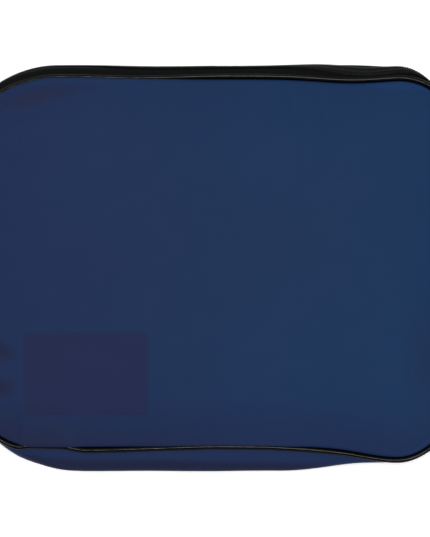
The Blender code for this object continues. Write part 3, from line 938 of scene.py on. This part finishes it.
def make_piping(side, body, sign, seam_z):
    """The vinyl strip folded round its cord, a little uneven, and the cord."""
    line = whole(1.4 * MM)
    swell = wave_along(line, 3 if sign > 0 else 9, 26 * MM, 0.06 * MM)
    nip = wave_along(line, 5 if sign > 0 else 11, 7 * MM, 0.025 * MM)
    radius = BEAD + swell + nip
    start, end = ((out * MM, seam_z - sign * down * MM) for out, down in TAILS)
    rows = [start]
    for k in range(BEAD_SIDES + 1):
        angle = SLIT_FACES - HALF_SLIT - (2 * math.pi - 2 * HALF_SLIT) * k / BEAD_SIDES
        rows.append((radius * math.cos(angle), seam_z + sign * radius * math.sin(angle)))
    rows.append(end)
    cover = sweep(f"{side}_piping_bead", line.place(ribbon(line, rows, VINYL)), True, VINYL_LOOK)
    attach(cover, body)
    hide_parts(f"{side}_piping_cover")

    cord = [(CORD * c, seam_z + CORD * s) for c, s in circle(10)]
    inner = sweep(f"{side}_piping_core", line.place(cord), True, CORD_LOOK)
    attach(inner, body)
    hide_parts(f"{side}_piping_cord")


# The binding's section, in millimetres: depth into the seam allowance, and lift off its middle
BINDING_ROWS = ((4.0, 2.3), (6.2, 2.35), (7.6, 2.0), (8.1, 0.2), (7.6, -1.6), (6.2, -2.1), (4.0, -2.1))


def make_binding(side, body, sign, seam_z):
    """The tape that is folded over the seam's raw edges, slanting into the bag."""
    line = whole(2.0 * MM)
    diagonal = 0.7071
    rows = []
    for depth, lift in BINDING_ROWS:
        rows.append((-diagonal * (depth + lift) * MM, seam_z + sign * diagonal * (lift - depth) * MM))
    made = sweep(f"{side}_binding", line.place(ribbon(line, rows, BINDING)), True, BIND_LOOK)
    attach(made, body)
    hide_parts(f"{side}_seam_binding")


def set_value(obj, name, values):
    layer = obj.data.attributes.new(name, "FLOAT", "POINT")
    layer.data.foreach_set("value", np.asarray(values, np.float32).ravel())


def seam_tail(seam_z, sign):
    """The two points by which a tape or the gusset ends inside the seam allowance."""
    return [(-3.9 * MM, seam_z - sign * 6.0 * MM), (-2.0 * MM, seam_z - sign * 3.6 * MM)]


def make_tape(side, body, sign, seam_z):
    """A zip tape, from the seam allowance out over the rim to the middle of the chain."""
    line = zip_line(1.4 * MM)
    seam_turn, steps = 1 - sign, 15
    edge_turn = turn_at(line, -sign * 0.3 * MM)
    rows = [rim_point(line, seam_turn + (edge_turn - seam_turn) * k / steps) for k in range(steps + 1)]
    section = ribbon(line, seam_tail(seam_z, sign) + rows, TAPE)
    grid = line.place(section)
    made = sweep(f"{side}_tape", grid, False, TAPE_LOOK)
    step = np.linalg.norm(np.diff(grid, axis=0), axis=2).mean(axis=1)
    set_value(made, "along", np.tile(line.along(), len(section)))
    set_value(made, "across", np.repeat(np.concatenate([[0], np.cumsum(step)]), len(line.x)))
    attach(made, body)
    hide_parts(f"{side}_zip_tape")


# The coil's pitch, its wire's radius, and how far it starts from the zip's ends, in millimetres
PITCH = 1.45 * MM
WIRE = 0.33 * MM
COIL_START = 7.4

# The coil and its core as (middle, half size), across the chain and off the tape
COIL_ACROSS, COIL_OFF = (1.35 * MM, 1.45 * MM), (0.84 * MM, 0.62 * MM)
CORE_ACROSS, CORE_OFF = (1.55 * MM, 1.00 * MM), (0.60 * MM, 0.58 * MM)


def make_coil(side, body, sign):
    """The chain's coil, a flattened helix of nylon wire, one turn a tooth, and the cord inside it."""
    per_turn, flatness = 9, 0.7
    fine = zip_line(0.5 * MM, COIL_START)
    gap = fine.along()
    turns = int(gap[-1] / PITCH)
    t = np.arange(turns * per_turn) / per_turn
    along = np.clip(t * PITCH + (PITCH / 2 if sign > 0 else 0), 0, gap[-1])
    points, normals = (
        np.column_stack([np.interp(along, gap, each[:, axis]) for axis in (0, 1)])
        for each in (fine.p, fine.n)
    )
    line = Line(points, normals / np.linalg.norm(normals, axis=1)[:, None])
    phase = 2 * math.pi * t
    swing = np.sign(np.cos(phase)) * np.abs(np.cos(phase)) ** flatness
    across = -sign * (COIL_ACROSS[0] - COIL_ACROSS[1] * swing)
    lift = TAPE / 2 + COIL_OFF[0] + COIL_OFF[1] * np.sin(phase)
    spot, face = off_rim(line, across, lift)
    spine = line.place([spot])[0]
    ahead = np.gradient(spine, axis=0)
    ahead /= np.linalg.norm(ahead, axis=1)[:, None]
    up = np.column_stack([line.n * face[0][:, None], face[1]])
    side_way = np.cross(ahead, up)
    side_way /= np.linalg.norm(side_way, axis=1)[:, None]
    up = np.cross(side_way, ahead)
    rows = [spine + WIRE * (c * up + s * side_way) for c, s in circle(5)]
    made = sweep(f"{side}_coil", np.array(rows), False, COIL_LOOK)
    core = []
    for c, s in circle(8):
        lift = TAPE / 2 + CORE_OFF[0] + CORE_OFF[1] * s
        core.append(off_rim(fine, -sign * (CORE_ACROSS[0] + CORE_ACROSS[1] * c), lift)[0])
    filler = sweep(f"{side}_coil_core", fine.place(core), False, CORE_SHADE_LOOK)
    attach(filler, body)
    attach(made, body)
    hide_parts(f"{side}_zip_coil")


for side, body, sign, seam_z in (("back", BACK, -1, BACK_Z), ("front", FRONT, 1, FRONT_Z)):
    make_piping(side, body, sign, seam_z)
    make_binding(side, body, sign, seam_z)
    make_tape(side, body, sign, seam_z)
    make_coil(side, body, sign)


# ---------------------------------------------------------------- gusset


GUSSET_ROWS = 60

# The fold crease at the gusset's left end: depth and width across the rim, its place across the rim and
# how far that shifts over a run of x, and its middle and width along x
FOLD_DEPTH, FOLD_WIDTH = 2.6 * MM, 0.075
FOLD_TURN, FOLD_SHIFT, FOLD_RUN = 0.30, 0.45, (-134, -104)
FOLD_MIDDLE, FOLD_LENGTH = -118, 15


def make_gusset():
    """The strip along the bottom, between the two halves, with its fold crease."""
    line = gusset_line(1.2 * MM)
    x = line.x / MM
    rows = seam_tail(FRONT_Z, 1)
    for k in range(GUSSET_ROWS + 1):
        turn = 2 * k / GUSSET_ROWS
        out, z = rim_point(line, np.full(line.x.shape, turn))
        wrinkle = slack(line.x, z + 0.3, 21, WAVES) * math.sin(turn * math.pi / 2)
        fold_turn = FOLD_TURN + FOLD_SHIFT * smooth(*FOLD_RUN, x)
        fold = FOLD_DEPTH * bump(turn, fold_turn, FOLD_WIDTH) * bump(x, FOLD_MIDDLE, FOLD_LENGTH)
        rows.append((out + wrinkle - fold, z))
    rows += seam_tail(BACK_Z, -1)[::-1]
    made = sweep("gusset_cloth", line.place(ribbon(line, rows, SHEET)), False, NAVY_GUSSET)
    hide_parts("bottom_gusset")
    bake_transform(made)


make_gusset()


# ---------------------------------------------------------------- label patch


def make_patch():
    """A thin blank patch with rounded corners, welded flat on the front panel."""
    low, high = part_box("label_patch")
    panel = front_panel.data
    tree = BVHTree.FromPolygons([v.co for v in panel.vertices], [f.vertices for f in panel.polygons])
    radius, slope, thickness = 2.2 * MM, 0.9 * MM, 0.05 * MM
    cx, cy = (low.x + high.x) / 2, (low.y + high.y) / 2
    hx, hy = (high.x - low.x) / 2, (high.y - low.y) / 2
    nx, ny = 60, 40
    u, v = np.meshgrid(np.linspace(-1, 1, nx), np.linspace(-1, 1, ny), indexing="ij")
    x, y = u * hx, v * hy
    over_x = np.maximum(np.abs(x) - (hx - radius), 0)
    over_y = np.maximum(np.abs(y) - (hy - radius), 0)
    reach = np.hypot(over_x, over_y)
    pull = np.where((over_x > 0) & (over_y > 0) & (reach > radius), radius / np.maximum(reach, 1e-9), 1)
    x = np.sign(x) * (np.minimum(np.abs(x), hx - radius) + over_x * pull) + cx
    y = np.sign(y) * (np.minimum(np.abs(y), hy - radius) + over_y * pull) + cy
    z = np.zeros_like(x)
    above, down = 0.1, Vector((0, 0, -1))
    for i in range(nx):
        for j in range(ny):
            z[i, j] = tree.ray_cast(Vector((x[i, j], y[i, j], above)), down)[0].z + thickness
    rim = np.minimum(hx - np.abs(x - cx), hy - np.abs(y - cy))
    top = z + thickness + thickness * smooth(0, slope, rim)
    upper = np.dstack([x, y, top]).reshape(-1, 3)
    lower = np.dstack([x, y, z]).reshape(-1, 3)
    index = np.arange(nx * ny).reshape(nx, ny)
    shift = nx * ny
    faces = grid_faces(index)
    faces += [tuple(shift + corner for corner in face[::-1]) for face in faces]
    loop = grid_border(index)
    for a, b in zip(loop, loop[1:] + loop[:1]):
        faces.append((b, a, a + shift, b + shift))
    made = outward(new_object("label_patch_vinyl", np.concatenate([upper, lower]), faces, [PATCH]))
    made.data.set_sharp_from_angle(angle=math.radians(40))
    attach(made, FRONT)
    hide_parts("label_patch")


make_patch()


# ---------------------------------------------------------------- metal parts


def soften_edges(node_name, body, width):
    """A copy of a CAD metal part with its edges rounded over, as a casting has them."""
    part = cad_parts[node_name]
    made = add(bpy.data.objects.new(node_name + "_cast", part.data.copy()))
    made.matrix_world = part.matrix_world
    shape = bmesh.new()
    shape.from_mesh(made.data)
    bmesh.ops.remove_doubles(shape, verts=shape.verts, dist=0.01 * MM)
    bmesh.ops.dissolve_limit(shape, angle_limit=math.radians(1), verts=shape.verts, edges=shape.edges)
    shape.to_mesh(made.data)
    shape.free()
    made.data.shade_smooth()
    rounding = made.modifiers.new("rounding", "BEVEL")
    rounding.width = width
    rounding.segments = 3
    rounding.limit_method = "ANGLE"
    rounding.angle_limit = math.radians(35)
    rounding.harden_normals = True
    apply_modifiers(made)
    made.data.materials.clear()
    made.data.materials.append(METAL_LOOK)
    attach(made, body)
    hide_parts(node_name)


for place in ("upper", "lower"):
    soften_edges(f"{place}_slider_body", f"{place}_slider", 0.22 * MM)
    soften_edges(f"{place}_slider_bail", f"{place}_slider", 0.20 * MM)
    soften_edges(f"{place}_pull_tab", f"{place}_pull", 0.25 * MM)


# An end clamp: how much smaller it is at each station along the zip, in millimetres, its half sizes
# across the chain and off the rim, how far it is lifted, and the powers of its rounded box section
CLAMP_ENDS = (0.45, 0.12, 0, 0, 0, 0.12, 0.45)
CLAMP_ACROSS, CLAMP_OFF, CLAMP_LIFT = 3.2 * MM, 1.5 * MM, 0.6 * MM
CLAMP_POWERS = (0.35, 0.45)


def make_end_stop(side, at_start):
    """A small metal clamp with rounded ends, bent over both chains beside the gusset."""
    line = zip_line(0.4 * MM, COIL_START + 0.4)
    edge = np.array(CLAMP_ENDS) * MM
    pick = slice(0, len(edge)) if at_start else slice(-len(edge), None)
    line = Line(line.p[pick], line.n[pick])
    out, z = rim_point(line, chain_place(line))
    rows = []
    for c, s in circle(20):
        up = (CLAMP_ACROSS - edge) * np.sign(c) * abs(c) ** CLAMP_POWERS[0]
        away = (CLAMP_OFF - edge) * np.sign(s) * abs(s) ** CLAMP_POWERS[1] + CLAMP_LIFT
        rows.append((out + away, z + up))
    made = sweep(f"{side}_end_clamp", line.place(rows), False, METAL_LOOK)
    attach(made, BACK)
    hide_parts(f"{side}_zip_end_stop")


make_end_stop("right", True)
make_end_stop("left", False)


# ---------------------------------------------------------------- floor, lights, camera


FLOOR_GAP = 0.5 * MM

# Each light's name, place, size and power
LIGHTS = (
    ("front", (0.1, 0.25, 3.2), (0.6, 0.6), 56),
    ("key", (-0.35, 1.3, 1.3), (1.3, 0.8), 7),
    ("fill", (0.9, -0.9, 1.3), (1.2, 1.2), 10),
    ("side", (-1.3, -0.2, 1.1), (1.0, 1.0), 8),
)

# The camera's distance, and the height of its view in the front seam's plane: 537 pixels of 0.6667 mm
CAMERA_DISTANCE = 4.0
VIEW_HEIGHT = 537 * 0.6667 * MM


def add_floor():
    size = 3.0
    corners = [(-size, -size, 0), (size, -size, 0), (size, size, 0), (-size, size, 0)]
    mesh = bpy.data.meshes.new("floor")
    mesh.from_pydata(corners, [], [(0, 1, 2, 3)])
    mesh.materials.append(FLOOR_LOOK)
    made = add(bpy.data.objects.new("floor", mesh))
    made.location.z = -FLOOR_GAP


def add_light(name, place, size, power):
    data = bpy.data.lights.new(name, "AREA")
    data.shape = "RECTANGLE"
    data.size, data.size_y = size
    data.energy = power
    made = add(bpy.data.objects.new(name, data))
    made.location = place
    made.rotation_euler = (-Vector(place)).to_track_quat("-Z", "Y").to_euler()


def add_camera():
    """Straight above the front panel, with VIEW_HEIGHT of it filling the frame's longer side."""
    data = bpy.data.cameras.new("camera")
    data.sensor_width = 36.0
    data.lens = data.sensor_width * (CAMERA_DISTANCE - FRONT_Z) / VIEW_HEIGHT
    data.clip_end = 20
    made = add(bpy.data.objects.new("camera", data))
    made.location = (0, 0, CAMERA_DISTANCE)
    bpy.context.scene.camera = made


add_floor()
for light in LIGHTS:
    add_light(*light)
add_camera()

world = bpy.data.worlds.new("studio")
world.use_nodes = True
background = world.node_tree.nodes["Background"]
background.inputs["Color"].default_value = (1, 1, 1, 1)
background.inputs["Strength"].default_value = 0.15
bpy.context.scene.world = world
bpy.context.scene.view_settings.view_transform = "Standard"
